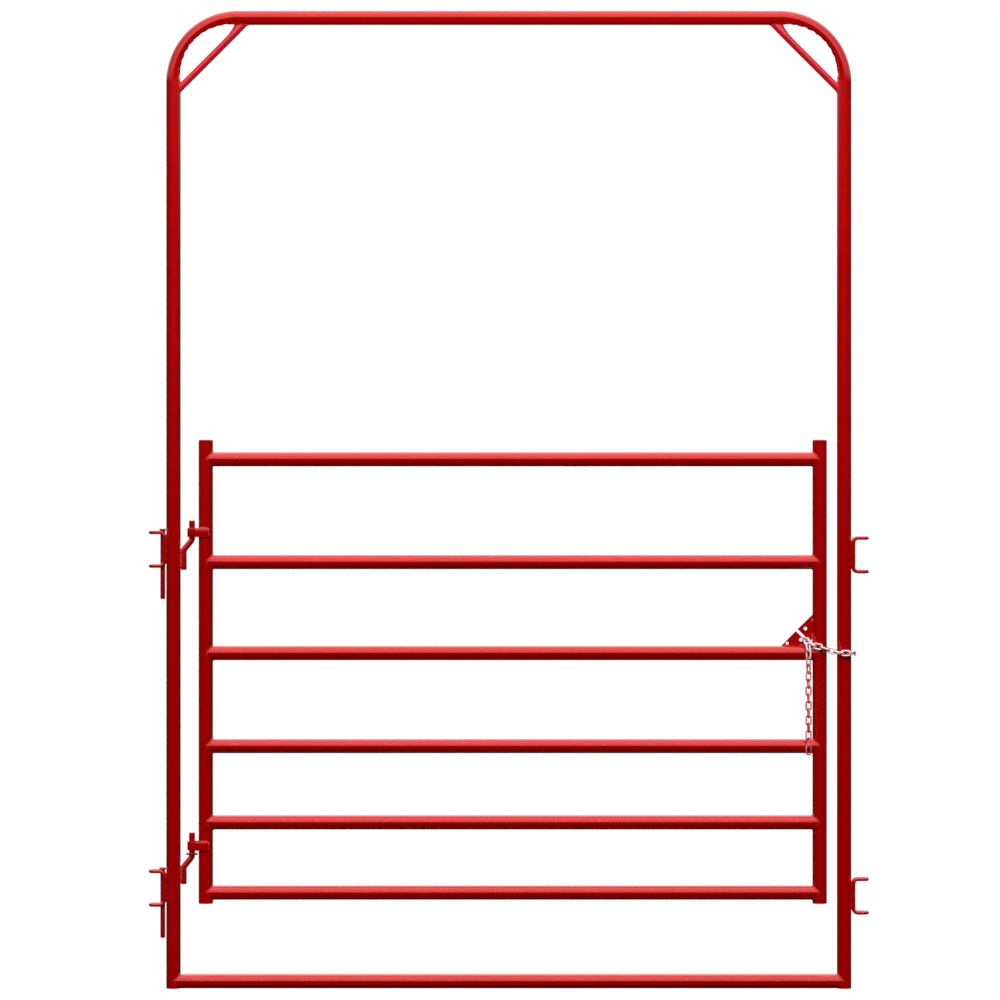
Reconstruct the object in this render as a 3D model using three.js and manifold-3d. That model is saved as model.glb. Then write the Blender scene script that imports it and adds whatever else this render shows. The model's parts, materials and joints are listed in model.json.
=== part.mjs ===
// Livestock panel gate: a walk-through bow frame with a hinged six-rail leaf and a chain latch.
// Millimetres, +Z up, X along the fence, -Y the side that carries the chain's tail.
// The origin is on the ground, midway between the two frame posts.
import * as THREE from "three";
import { mergeVertices } from "three/addons/utils/BufferGeometryUtils.js";
import Module from "manifold-3d";

const wasm = await Module();
wasm.setup();

// ---------- driving dimensions ----------

const FRAME_WIDTH = 1828.8; // over the two posts: six feet
const FRAME_HEIGHT = 2610;
const TUBE_RADIUS = 19.05; // 1-1/2 inch tube throughout
const TUBE_WALL = 1.65;
const GAP = 0.3; // between pieces that are welded or rest on each other

const BOW_BEND_RADIUS = 172;
const BEND_PRESS = 9; // how far the inside of each bend is pressed in at its middle
const BRACE_REACH = 205; // from the corner of the post and arch centrelines
const BRACE_RADIUS = 9.5;
const BRACE_WALL = 1.5;

const LEAF_BOTTOM = 226.5;
const LEAF_TOP = 1464;
const HINGE_POST_X = -809;
const LATCH_POST_X = 830;
const RAIL_HEIGHTS = [255.5, 443, 646.7, 895, 1138, 1412.4]; // centres, closer together lower down
const CAP_THICKNESS = 3;

const PIN_RADIUS = 7.95;
const PIN_RUNNING_GAP = 0.4;
const PIN_OFFSET = 49.5; // from the frame post's axis to the hinge axis
const BOLT_BEND_RADIUS = 16;
const BOLT_BEND_HEIGHT = 27; // rise of the slanted stretch between leg and pin
const WASHER_RADIUS = 15.5;
const WASHER_THICKNESS = 4;
const UPPER_BOLT = { foot: 1117, bend: 1197, top: 1249 };
const LOWER_BOLT = { foot: 278, bend: 351, top: 416 };

const STRAP_THICKNESS = 4;
const STRAP_HEIGHT = 24;
const STRAP_SPREAD = THREE.MathUtils.degToRad(38); // of each leg from the strap's own line
const STRAP_PAST_POST = 9;
const UPPER_STRAP_Z = 1216.7;
const LOWER_STRAP_Z = 380.5;

const ROD_RADIUS = 4.76; // 3/8 inch rod of the panel brackets
const BRACKET_STAND_OFF = 3.3; // from the post to the rod, where the welds are
const BRACKET_HALF_WIDTH = 12;
const BRACKET_BEND = 12;
const BRACKET_REACH = 66; // from the post's axis to the arms' tips
const BRACKET_ARM_SPACING = 89.5;
const LEFT_BRACKET_TOPS = { upper: 1217, lower: 312.7 };
const RIGHT_BRACKET_DROPS = { upper: 15, lower: 21 }; // a neighbour's left arms rest between these

const DROP_PIN_RADIUS = 6.35;
const DROP_PIN_LENGTH = 188;
const DROP_PIN_OFFSET = 28.5;
const DROP_PIN_HEAD_RADIUS = 9;
const DROP_PIN_HEAD_HEIGHT = 5;

const PLATE_LEG = 84;
const PLATE_THICKNESS = 4.8;
const PLATE_RAIL = 3; // the plate stands on this rail, counted from 0
const PLATE_HOLES = [
  { left: 18.7, up: 46, radius: 4.7 },
  { left: 30.8, up: 16.3, radius: 4.7 },
  { left: 67.3, up: 6.8, radius: 4 },
];
const SLOT_WIDTH = 7;
const SLOT_END = 14; // left of and above the plate's square corner

const WIRE_RADIUS = 2.15;
const LINK_BEND = 6.6; // of the wire's centreline at a link's round ends
const LINK_PITCH = 19.6;
const HOOK_HALF = 2.65; // from a hook point to either wire's centre; wires then clear by 1 mm
const POST_STAND_OFF = 28.8; // from a post's axis to the chain's hook points
const TAIL_Y = -29.5; // where the tail hangs clear of the rails
const LOOP_LINKS = 16;
const TAIL_LINKS = 16;

// The chain is slightly twisted: each link lies a little off square to its neighbour.
const FRONT_LINKS = 9; // of the loop's links, those from the anchor to round the frame post
const FRONT_TWIST = THREE.MathUtils.degToRad(-5.5);
const REAR_LINKS = 6; // of the loop's links, those of the strand behind the latch post
const REAR_TWIST = THREE.MathUtils.degToRad(3.5);
const TWISTED_TAIL_LINKS = 7; // after the first, which is caught on the slot's link
const TAIL_TWIST = THREE.MathUtils.degToRad(6.5);

const TUBE_SIDES = 20;
const ROD_SIDES = 12;
const WIRE_SIDES = 6;
const BOW_BEND_STEPS = 8;
const BEND_STEPS = 6;
const ROD_BEND_STEPS = 3;

// ---------- worked out from them ----------

const POST_X = FRAME_WIDTH / 2 - TUBE_RADIUS;
const ARCH_Z = FRAME_HEIGHT - TUBE_RADIUS;
const HINGE_X = -POST_X + PIN_OFFSET;
const CORNER_X = LATCH_POST_X - TUBE_RADIUS - GAP;
const CORNER_Z = RAIL_HEIGHTS[PLATE_RAIL] + TUBE_RADIUS + GAP;

// ---------- materials ----------

const enamel = new THREE.MeshStandardMaterial({ color: 0xa00408, roughness: 0.35, metalness: 0 });
const zinc = new THREE.MeshStandardMaterial({ color: 0xd9dadb, roughness: 0.4, metalness: 0.8 });

// ---------- geometry helpers ----------

function vec(x, y, z) {
  return new THREE.Vector3(x, y, z);
}

function directionBetween(from, to) {
  return to.clone().sub(from).normalize();
}

// A path of straight runs joined by round bends. Its stations are the runs' ends and even steps
// round each bend, so a sweep along it has no more rings than its shape needs.
class Route extends THREE.Curve {
  constructor(corners, bendRadius, stepsPerBend = BEND_STEPS) {
    super();
    this.stations = [];
    this.addStation(corners[0], directionBetween(corners[0], corners[1]));
    for (let i = 1; i < corners.length - 1; i++) {
      this.addBend(corners[i - 1], corners[i], corners[i + 1], bendRadius, stepsPerBend);
    }
    const last = corners.length - 1;
    this.addStation(corners[last], directionBetween(corners[last - 1], corners[last]));
  }

  addStation(point, tangent) {
    const previous = this.stations.at(-1);
    if (previous && previous.point.distanceTo(point) < 1e-6) return;
    this.stations.push({ point, tangent });
  }

  addBend(before, corner, after, radius, steps) {
    const into = directionBetween(before, corner);
    const turn = into.angleTo(directionBetween(corner, after));
    const axis = into.clone().cross(directionBetween(corner, after)).normalize();
    const start = corner.clone().addScaledVector(into, -radius * Math.tan(turn / 2));
    const inward = axis.clone().cross(into);
    const centre = start.clone().addScaledVector(inward, radius);
    for (let step = 0; step <= steps; step++) {
      const angle = (turn * step) / steps;
      const spoke = inward.clone().multiplyScalar(-radius).applyAxisAngle(axis, angle);
      this.addStation(centre.clone().add(spoke), into.clone().applyAxisAngle(axis, angle));
    }
  }

  between(t) {
    const at = t * (this.stations.length - 1);
    const index = Math.min(Math.floor(at + 1e-9), this.stations.length - 2);
    return { from: this.stations[index], to: this.stations[index + 1], share: at - index };
  }

  getPoint(t, target = new THREE.Vector3()) {
    const { from, to, share } = this.between(t);
    return target.lerpVectors(from.point, to.point, share);
  }

  getTangent(t, target = new THREE.Vector3()) {
    const { from, to, share } = this.between(t);
    return target.lerpVectors(from.tangent, to.tangent, share).normalize();
  }

  getUtoTmapping(u) {
    return u;
  }
}

function circlePoints(radius, sides) {
  const points = [];
  for (let side = 0; side < sides; side++) {
    const angle = (2 * Math.PI * side) / sides;
    points.push(new THREE.Vector2(radius * Math.cos(angle), radius * Math.sin(angle)));
  }
  return points;
}

function roundSection(radius, sides) {
  return new THREE.Shape(circlePoints(radius, sides));
}

function tubeSection(radius, wall, sides) {
  const section = roundSection(radius, sides);
  section.holes.push(new THREE.Path(circlePoints(radius - wall, sides)));
  return section;
}

function flatBarSection(height, thickness) {
  const [h, t] = [height / 2, thickness / 2];
  const corners = [[-h, -t], [h, -t], [h, t], [-h, t]];
  return new THREE.Shape(corners.map(([x, y]) => new THREE.Vector2(x, y)));
}

function sweep(route, section) {
  const steps = route.stations.length - 1;
  return new THREE.ExtrudeGeometry(section, { steps, extrudePath: route, bevelEnabled: false });
}

// A sweep along a route that ends where it began: the side faces alone then close on themselves.
function ringSweep(route, section) {
  const open = sweep(route, section);
  const sides = open.groups[1];
  const positions = open.getAttribute("position").array;
  const kept = positions.slice(sides.start * 3, (sides.start + sides.count) * 3);
  return new THREE.BufferGeometry().setAttribute("position", new THREE.BufferAttribute(kept, 3));
}

function straightTube(from, to, radius, wall, sides) {
  return sweep(new Route([from, to], 1), tubeSection(radius, wall, sides));
}

// A solid of revolution about Z, from [radius, height] pairs.
function turned(profile, sides) {
  const points = profile.map(([radius, height]) => new THREE.Vector2(radius, height));
  return new THREE.LatheGeometry(points, sides).rotateX(Math.PI / 2);
}

function solidOf(geometry) {
  const bare = geometry.clone();
  bare.deleteAttribute("normal");
  bare.deleteAttribute("uv");
  const merged = mergeVertices(bare);
  const vertProperties = merged.getAttribute("position").array;
  const triVerts = new Uint32Array(merged.index.array);
  return new wasm.Manifold(new wasm.Mesh({ numProp: 3, vertProperties, triVerts }));
}

function geometryOf(solid) {
  const { vertProperties, triVerts } = solid.getMesh();
  const geometry = new THREE.BufferGeometry();
  geometry.setAttribute("position", new THREE.BufferAttribute(vertProperties, 3));
  geometry.setIndex(new THREE.BufferAttribute(triVerts, 1));
  geometry.computeVertexNormals();
  return geometry;
}

function cut(geometry, ...cutters) {
  let solid = solidOf(geometry);
  for (const cutter of cutters) solid = solid.subtract(solidOf(cutter));
  return geometryOf(solid);
}

// What a tube's end is cut with, to fit round another tube that runs along the same route.
function copeCutter(corners, bendRadius) {
  const flatsRadius = TUBE_RADIUS + GAP;
  const section = roundSection(flatsRadius / Math.cos(Math.PI / TUBE_SIDES), TUBE_SIDES);
  return sweep(new Route(corners, bendRadius, BOW_BEND_STEPS), section);
}

function piece(name, geometry, material, parent, position = vec(0, 0, 0)) {
  const mesh = new THREE.Mesh(geometry, material);
  mesh.name = name;
  mesh.position.copy(position);
  parent.add(mesh);
  return mesh;
}

// ---------- the frame ----------

function bowCorners() {
  return [vec(-POST_X, 0, 0), vec(-POST_X, 0, ARCH_Z), vec(POST_X, 0, ARCH_Z), vec(POST_X, 0, 0)];
}

// The inner half of the tube is flatter in each bend, where the bender has pressed it in.
function pressBends(geometry) {
  const position = geometry.getAttribute("position");
  const centreX = POST_X - BOW_BEND_RADIUS;
  const centreZ = ARCH_Z - BOW_BEND_RADIUS;
  for (let index = 0; index < position.count; index++) {
    const side = Math.sign(position.getX(index));
    const outward = side * position.getX(index) - centreX;
    const up = position.getZ(index) - centreZ;
    const radius = Math.hypot(outward, up);
    if (outward <= 0 || up <= 0 || radius >= BOW_BEND_RADIUS) continue;
    const share = (BEND_PRESS / TUBE_RADIUS) * Math.sin(2 * Math.atan2(up, outward));
    const stretch = (radius + (BOW_BEND_RADIUS - radius) * share) / radius;
    position.setX(index, side * (centreX + outward * stretch));
    position.setZ(index, centreZ + up * stretch);
  }
  geometry.computeVertexNormals();
  return geometry;
}

function bowGeometry() {
  const route = new Route(bowCorners(), BOW_BEND_RADIUS, BOW_BEND_STEPS);
  return pressBends(sweep(route, tubeSection(TUBE_RADIUS, TUBE_WALL, TUBE_SIDES)));
}

// A rail from one upright's axis to the other's, its ends cut to fit round both.
function railGeometry(fromX, toX) {
  const rail = straightTube(vec(fromX, 0, 0), vec(toX, 0, 0), TUBE_RADIUS, TUBE_WALL, TUBE_SIDES);
  const reach = 2 * TUBE_RADIUS;
  const uprights = [fromX, toX].map((x) => copeCutter([vec(x, 0, -reach), vec(x, 0, reach)], 1));
  return cut(rail, ...uprights);
}

function braceGeometry(side) {
  const onPost = vec(side * POST_X, 0, ARCH_Z - BRACE_REACH);
  const onArch = vec(side * (POST_X - BRACE_REACH), 0, ARCH_Z);
  const brace = straightTube(onPost, onArch, BRACE_RADIUS, BRACE_WALL, ROD_SIDES);
  return cut(brace, copeCutter(bowCorners(), BOW_BEND_RADIUS));
}

// ---------- the hinges ----------

// A rod with a leg for welding to the frame post and a pin on the hinge axis. Local x = 0 is the pin.
function hingeBoltGeometry({ foot, bend, top }) {
  const legX = TUBE_RADIUS + GAP + PIN_RADIUS - PIN_OFFSET;
  const low = vec(legX, 0, bend - BOLT_BEND_HEIGHT);
  const corners = [vec(legX, 0, foot), low, vec(0, 0, bend), vec(0, 0, top)];
  return sweep(new Route(corners, BOLT_BEND_RADIUS), roundSection(PIN_RADIUS, ROD_SIDES));
}

function washerGeometry() {
  const bore = PIN_RADIUS + PIN_RUNNING_GAP;
  const [low, high] = [0, WASHER_THICKNESS];
  const profile = [[bore, low], [WASHER_RADIUS, low], [WASHER_RADIUS, high], [bore, high], [bore, low]];
  return turned(profile, TUBE_SIDES);
}

// A flat bar bent round the pin, its two legs spread to lie along the front and back of the post.
function strapGeometry() {
  const eyeRadius = PIN_RADIUS + PIN_RUNNING_GAP + STRAP_THICKNESS / 2;
  const legY = TUBE_RADIUS + GAP + STRAP_THICKNESS / 2;
  const apexX = -eyeRadius / Math.sin(STRAP_SPREAD);
  const kneeX = apexX + legY / Math.tan(STRAP_SPREAD);
  const endX = HINGE_POST_X - HINGE_X + STRAP_PAST_POST;
  const corners = [
    vec(endX, legY, 0),
    vec(kneeX, legY, 0),
    vec(apexX, 0, 0),
    vec(kneeX, -legY, 0),
    vec(endX, -legY, 0),
  ];
  return sweep(new Route(corners, eyeRadius), flatBarSection(STRAP_HEIGHT, STRAP_THICKNESS));
}

// ---------- the panel brackets and drop pins ----------

// One closed ring of rod: two flat loops that reach out sideways, joined by two uprights at the post.
// Local x is measured from the post's axis, and z = 0 is the upper loop.
function bracketGeometry() {
  const fromAxis = TUBE_RADIUS + BRACKET_STAND_OFF + ROD_RADIUS;
  const uprightX = Math.sqrt(fromAxis ** 2 - BRACKET_HALF_WIDTH ** 2);
  const tipX = BRACKET_REACH - ROD_RADIUS;
  const [y, low] = [BRACKET_HALF_WIDTH, -BRACKET_ARM_SPACING];
  const corners = [
    vec(tipX, 0, low),
    vec(tipX, y, low),
    vec(uprightX, y, low),
    vec(uprightX, y, 0),
    vec(tipX, y, 0),
    vec(tipX, -y, 0),
    vec(uprightX, -y, 0),
    vec(uprightX, -y, low),
    vec(tipX, -y, low),
    vec(tipX, 0, low),
  ];
  return ringSweep(new Route(corners, BRACKET_BEND, ROD_BEND_STEPS), roundSection(ROD_RADIUS, 8));
}

// Local z = 0 is the underside of the head, which rests on the bracket's upper loop.
function dropPinGeometry() {
  const chamfer = 1.5;
  const foot = DROP_PIN_HEAD_HEIGHT - DROP_PIN_LENGTH;
  const profile = [
    [0, foot],
    [DROP_PIN_RADIUS - chamfer, foot],
    [DROP_PIN_RADIUS, foot + chamfer],
    [DROP_PIN_RADIUS, 0],
    [DROP_PIN_HEAD_RADIUS, 0],
    [DROP_PIN_HEAD_RADIUS, DROP_PIN_HEAD_HEIGHT - chamfer],
    [DROP_PIN_HEAD_RADIUS - chamfer, DROP_PIN_HEAD_HEIGHT],
    [0, DROP_PIN_HEAD_HEIGHT],
  ];
  return turned(profile, TUBE_SIDES);
}

// ---------- the latch plate ----------

// A right triangle whose square corner is the local origin, with a slot that opens through the
// middle of its long side. It is drawn in x and y, then stood up in x and z.
function latchPlateGeometry() {
  const outline = new THREE.Shape();
  const [half, leg] = [SLOT_WIDTH / 2 / Math.SQRT2, PLATE_LEG / 2];
  outline.moveTo(0, 0);
  outline.lineTo(0, PLATE_LEG);
  outline.lineTo(-leg + half, leg + half);
  outline.lineTo(-SLOT_END + half, SLOT_END + half);
  outline.absarc(-SLOT_END, SLOT_END, SLOT_WIDTH / 2, Math.PI / 4, -Math.PI * 0.75, true);
  outline.lineTo(-leg - half, leg - half);
  outline.lineTo(-PLATE_LEG, 0);
  for (const { left, up, radius } of PLATE_HOLES) {
    outline.holes.push(new THREE.Path().absarc(-left, up, radius, 0, 2 * Math.PI, true));
  }
  const options = { depth: PLATE_THICKNESS, bevelEnabled: false, curveSegments: 8 };
  const drawn = new THREE.ExtrudeGeometry(outline, options);
  return drawn.translate(0, 0, -PLATE_THICKNESS / 2).rotateX(Math.PI / 2);
}

// ---------- the chain ----------

// Local x runs along the link and local y across it.
function linkGeometry() {
  const halfLength = LINK_PITCH / 2 + HOOK_HALF;
  const corners = [
    vec(0, LINK_BEND, 0),
    vec(halfLength, LINK_BEND, 0),
    vec(halfLength, -LINK_BEND, 0),
    vec(-halfLength, -LINK_BEND, 0),
    vec(-halfLength, LINK_BEND, 0),
    vec(0, LINK_BEND, 0),
  ];
  return ringSweep(new Route(corners, LINK_BEND, ROD_BEND_STEPS), roundSection(WIRE_RADIUS, WIRE_SIDES));
}

// Half a link. Local x = 0 is the hook point, and its two ends reach back to the plate.
function anchorGeometry(reachBack) {
  const corners = [
    vec(-reachBack, LINK_BEND, 0),
    vec(HOOK_HALF, LINK_BEND, 0),
    vec(HOOK_HALF, -LINK_BEND, 0),
    vec(-reachBack, -LINK_BEND, 0),
  ];
  return sweep(new Route(corners, LINK_BEND, ROD_BEND_STEPS), roundSection(WIRE_RADIUS, WIRE_SIDES));
}

// The curve that the taut part of the chain follows: from the anchor on the plate's front, past the
// latch post, round the frame post, and back behind both to the slot.
function loopGuide(anchorHook, slotHook) {
  const points = [
    anchorHook,
    vec(LATCH_POST_X - 16, -27, 915),
    vec(LATCH_POST_X + 8, -33.5, 910),
    vec(LATCH_POST_X + 33, -POST_STAND_OFF, 900),
  ];
  for (let degrees = -100; degrees <= 100; degrees += 20) {
    const angle = THREE.MathUtils.degToRad(degrees);
    const x = POST_X + POST_STAND_OFF * Math.cos(angle);
    points.push(vec(x, POST_STAND_OFF * Math.sin(angle), 896 + degrees / 100));
  }
  points.push(
    vec(LATCH_POST_X + 33, POST_STAND_OFF, 901.5),
    vec(LATCH_POST_X + 8, 29, 911),
    vec(LATCH_POST_X - 11, 29, 921.5),
    slotHook.clone().add(vec(10.5, 15, -4.5)),
    slotHook,
  );
  return new THREE.CatmullRomCurve3(points);
}

// Points on a curve, from its start to its end, each the same straight distance from the last.
function evenHooks(curve, count) {
  const samples = curve.getPoints(4000);
  const walk = (step) => {
    const hooks = [samples[0]];
    for (const sample of samples) {
      if (hooks.at(-1).distanceTo(sample) >= step) hooks.push(sample);
    }
    return hooks;
  };
  let [low, high] = [0.8 * LINK_PITCH, 1.2 * LINK_PITCH];
  while (high - low > 1e-4) {
    const middle = (low + high) / 2;
    if (walk(middle).length > count) low = middle;
    else high = middle;
  }
  return [...walk(high).slice(0, count), samples.at(-1)];
}

// The tail's hook points: out over the rail below the plate, then straight down in front of the rails.
function tailHooks(slotHook) {
  const over = vec(0.2, -0.84, -0.6).normalize();
  const down = vec(0.1, -0.35, -0.97).normalize();
  const hooks = [slotHook.clone().addScaledVector(over, LINK_PITCH)];
  hooks.push(hooks[0].clone().addScaledVector(down, LINK_PITCH));
  while (hooks.length < TAIL_LINKS) {
    const above = hooks.at(-1);
    const y = Math.max(above.y - 0.7, TAIL_Y);
    hooks.push(vec(above.x, y, above.z - LINK_PITCH));
  }
  return hooks;
}

// A link between two hook points, lying across the link next to it.
function placeLink(name, geometry, from, to, acrossNext, twist, parent) {
  const along = directionBetween(from, to);
  const across = acrossNext.clone().projectOnPlane(along).normalize().applyAxisAngle(along, twist);
  const normal = along.clone().cross(across);
  const middle = from.clone().lerp(to, 0.5);
  const link = piece(name, geometry, zinc, parent, middle);
  link.quaternion.setFromRotationMatrix(new THREE.Matrix4().makeBasis(along, across, normal));
  return normal;
}

function twoDigits(number) {
  return String(number).padStart(2, "0");
}

function loopTwist(index) {
  if (index > LOOP_LINKS - REAR_LINKS) return REAR_TWIST;
  return index <= FRONT_LINKS ? FRONT_TWIST : 0;
}

function chain() {
  const group = new THREE.Group();
  const link = linkGeometry();
  const slotLine = vec(Math.SQRT1_2, 0, -Math.SQRT1_2); // down the slot, towards the plate's corner
  const slotSeat = SLOT_WIDTH / 2 - LINK_BEND - WIRE_RADIUS - GAP;
  const slotMiddle = vec(CORNER_X - SLOT_END, 0, CORNER_Z + SLOT_END).addScaledVector(slotLine, slotSeat);
  const front = slotMiddle.clone().add(vec(0, -LINK_PITCH / 2, 0));
  const rear = slotMiddle.clone().add(vec(0, LINK_PITCH / 2, 0));
  const slotNormal = placeLink("chain_slot_link", link, rear, front, slotLine, 0, group);

  let across = slotNormal;
  let above = front;
  tailHooks(front).forEach((hook, index) => {
    const name = `chain_tail_link_${twoDigits(index + 1)}`;
    const twist = index >= 1 && index <= TWISTED_TAIL_LINKS ? TAIL_TWIST : 0;
    across = placeLink(name, link, above, hook, across, twist, group);
    above = hook;
  });

  const anchorHook = vec(CORNER_X - 5.5, -12, CORNER_Z + LINK_BEND + WIRE_RADIUS + GAP);
  const hooks = evenHooks(loopGuide(anchorHook, rear), LOOP_LINKS);
  across = slotNormal;
  for (let index = LOOP_LINKS; index >= 1; index--) {
    const name = `chain_loop_link_${twoDigits(index)}`;
    across = placeLink(name, link, hooks[index], hooks[index - 1], across, loopTwist(index), group);
  }

  const reachBack = -anchorHook.y - PLATE_THICKNESS / 2 - GAP;
  const anchor = piece("chain_anchor", anchorGeometry(reachBack), zinc, group, anchorHook);
  const outward = vec(0, -1, 0);
  const upright = across.clone().projectOnPlane(outward).normalize();
  const frame = new THREE.Matrix4().makeBasis(outward, upright, outward.clone().cross(upright));
  anchor.quaternion.setFromRotationMatrix(frame);
  return group;
}

// ---------- the assembly ----------

function frame() {
  const group = new THREE.Group();
  piece("frame_bow", bowGeometry(), enamel, group);
  piece("bottom_rail", railGeometry(-POST_X, POST_X), enamel, group, vec(0, 0, TUBE_RADIUS));
  piece("corner_brace_left", braceGeometry(-1), enamel, group);
  piece("corner_brace_right", braceGeometry(1), enamel, group);
  piece("hinge_pin_upper", hingeBoltGeometry(UPPER_BOLT), enamel, group, vec(HINGE_X, 0, 0));
  piece("hinge_pin_lower", hingeBoltGeometry(LOWER_BOLT), enamel, group, vec(HINGE_X, 0, 0));
  const washerZ = LOWER_STRAP_Z - STRAP_HEIGHT / 2 - 2 * WASHER_THICKNESS - 4;
  piece("hinge_washer", washerGeometry(), enamel, group, vec(HINGE_X, 0, washerZ));
  return group;
}

function brackets() {
  const group = new THREE.Group();
  const bracket = bracketGeometry();
  const pin = dropPinGeometry();
  for (const [level, top] of Object.entries(LEFT_BRACKET_TOPS)) {
    const left = piece(`bracket_left_${level}`, bracket, enamel, group, vec(-POST_X, 0, top));
    left.rotation.z = Math.PI;
    const rightTop = top - RIGHT_BRACKET_DROPS[level];
    piece(`bracket_right_${level}`, bracket, enamel, group, vec(POST_X, 0, rightTop));
    const seat = vec(-POST_X - DROP_PIN_OFFSET, 0, top + ROD_RADIUS + GAP);
    piece(`drop_pin_${level}`, pin, enamel, group, seat);
  }
  return group;
}

function leaf() {
  const group = new THREE.Group();
  const capSeat = LEAF_TOP - CAP_THICKNESS;
  const bottom = vec(0, 0, LEAF_BOTTOM);
  const post = straightTube(bottom, vec(0, 0, capSeat - GAP), TUBE_RADIUS, TUBE_WALL, TUBE_SIDES);
  const rim = TUBE_RADIUS;
  const cap = turned([[0, 0], [rim, 0], [rim, 2], [rim - 1, CAP_THICKNESS], [0, CAP_THICKNESS]], TUBE_SIDES);
  const rail = railGeometry(HINGE_POST_X, LATCH_POST_X);
  const strap = strapGeometry();
  piece("hinge_post", post, enamel, group, vec(HINGE_POST_X, 0, 0));
  piece("latch_post", post, enamel, group, vec(LATCH_POST_X, 0, 0));
  piece("post_cap_hinge", cap, enamel, group, vec(HINGE_POST_X, 0, capSeat));
  piece("post_cap_latch", cap, enamel, group, vec(LATCH_POST_X, 0, capSeat));
  RAIL_HEIGHTS.forEach((height, index) => {
    piece(`gate_rail_${index + 1}`, rail, enamel, group, vec(0, 0, height));
  });
  piece("hinge_strap_upper", strap, enamel, group, vec(HINGE_X, 0, UPPER_STRAP_Z));
  piece("hinge_strap_lower", strap, enamel, group, vec(HINGE_X, 0, LOWER_STRAP_Z));
  piece("latch_plate", latchPlateGeometry(), enamel, group, vec(CORNER_X, 0, CORNER_Z));
  return group;
}

const gate = new THREE.Group();
gate.add(frame(), brackets(), leaf(), chain());

export default gate;
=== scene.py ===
"""Looks for the livestock panel gate: smooth painted tube, weld beads, bent rod and a plated chain.

Metres, +Z up, X along the fence, and the camera looks along +Y. Every finished piece stands for one
node of the frame and takes its place from that node's box or mesh.
"""

import json
import math
from itertools import repeat

import bpy
import numpy as np
from mathutils import Matrix, Quaternion, Vector, noise

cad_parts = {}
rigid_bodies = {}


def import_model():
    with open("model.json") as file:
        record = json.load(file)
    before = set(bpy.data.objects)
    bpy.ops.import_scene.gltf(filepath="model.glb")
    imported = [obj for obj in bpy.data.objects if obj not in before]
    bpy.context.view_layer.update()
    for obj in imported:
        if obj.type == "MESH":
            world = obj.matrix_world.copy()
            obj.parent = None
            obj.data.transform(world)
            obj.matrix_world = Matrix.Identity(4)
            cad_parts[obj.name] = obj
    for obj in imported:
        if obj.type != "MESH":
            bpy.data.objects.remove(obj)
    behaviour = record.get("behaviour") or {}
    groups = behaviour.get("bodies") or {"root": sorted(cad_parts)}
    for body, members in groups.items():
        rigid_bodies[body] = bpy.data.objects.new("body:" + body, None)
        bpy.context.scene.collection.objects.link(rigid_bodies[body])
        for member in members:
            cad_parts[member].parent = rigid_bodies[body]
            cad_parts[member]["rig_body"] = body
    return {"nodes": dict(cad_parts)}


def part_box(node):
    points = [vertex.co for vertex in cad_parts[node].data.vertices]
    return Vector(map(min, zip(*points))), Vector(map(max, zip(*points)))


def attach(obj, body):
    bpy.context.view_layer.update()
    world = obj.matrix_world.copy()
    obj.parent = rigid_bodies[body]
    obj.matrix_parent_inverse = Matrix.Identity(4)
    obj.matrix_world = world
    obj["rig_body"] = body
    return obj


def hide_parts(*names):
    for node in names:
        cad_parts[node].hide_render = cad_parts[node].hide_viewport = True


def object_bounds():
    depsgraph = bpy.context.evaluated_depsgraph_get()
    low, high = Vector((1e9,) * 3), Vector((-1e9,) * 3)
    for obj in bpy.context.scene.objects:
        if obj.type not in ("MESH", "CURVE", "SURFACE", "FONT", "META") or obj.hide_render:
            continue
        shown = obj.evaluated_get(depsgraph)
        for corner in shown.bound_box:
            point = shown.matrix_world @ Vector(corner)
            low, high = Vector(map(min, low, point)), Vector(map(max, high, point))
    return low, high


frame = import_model()
cad_low, cad_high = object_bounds()

# ---------- driving dimensions ----------

MM = 0.001

TUBE_RADIUS = 19.05 * MM
TUBE_WALL = 1.65 * MM
TUBE_SIDES = 64
TUBE_END_DEPTH = 60 * MM  # how far an open end is hollow before its unseen plug
END_ROUNDING = 0.4 * MM
WELD_GAP = 0.3 * MM
NEARLY = 0.999  # the share of its full radius that keeps a bend from crossing the next one

BOW_BEND_RADIUS = 172 * MM
BOW_BEND_STEPS = 120
BEND_PRESS = 9 * MM  # how far the inside of each bend is pressed in at its middle
WRINKLE_PITCH = 24 * MM
WRINKLE_DEPTH = 2.6 * MM
WRINKLE_ONSET = 2.6  # how fast the wrinkles reach full depth as the tube turns
WRINKLE_MEAN = 0.7  # the share of the full depth that a middling wrinkle has
WRINKLE_VARIATION = 0.9  # how far from that share the others stray, at random

RAIL_STATIONS = (0.03, 0.25, 0.5, 0.75, 0.97)  # shares of a rail's length, between its cut ends

BRACE_REACH = 205 * MM
BRACE_RADIUS = 9.5 * MM
BRACE_FLARE = 1.32  # how much wider the pressed upper end is
BRACE_FLARE_LENGTH = 34 * MM
BRACE_CUT_SHARE = 0.09  # of the brace's length, lost in the arch
BRACE_FLARE_CURVE = 1.5  # above 1, the flare starts gently
BRACE_THINNING = 0.28  # the share of its depth that the pressed end has lost
BRACE_LEAN = 5 * MM  # how far the upper end is bent towards the post
BRACE_BEAD = 1.7 * MM
BRACE_BEAD_STEP = 1.2 * MM
BRACE_STEPS = 60
BRACE_SIDES = 40

PIN_RADIUS = 7.95 * MM
PIN_RUNNING_GAP = 0.4 * MM
PIN_OFFSET = 49.5 * MM
BOLT_BEND_RADIUS = 16 * MM
BOLT_BEND_HEIGHT = 27 * MM
BOLT_BENDS = {"upper": 1197 * MM, "lower": 351 * MM}
BOLT_CHAMFER = 2 * MM
BOLT_RUB = 0.25
BOLT_SIDE_BEAD = 2.9 * MM  # the weld up either side of the leg
BOLT_TOP_BEAD = 3.2 * MM  # and the one across its top

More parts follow.
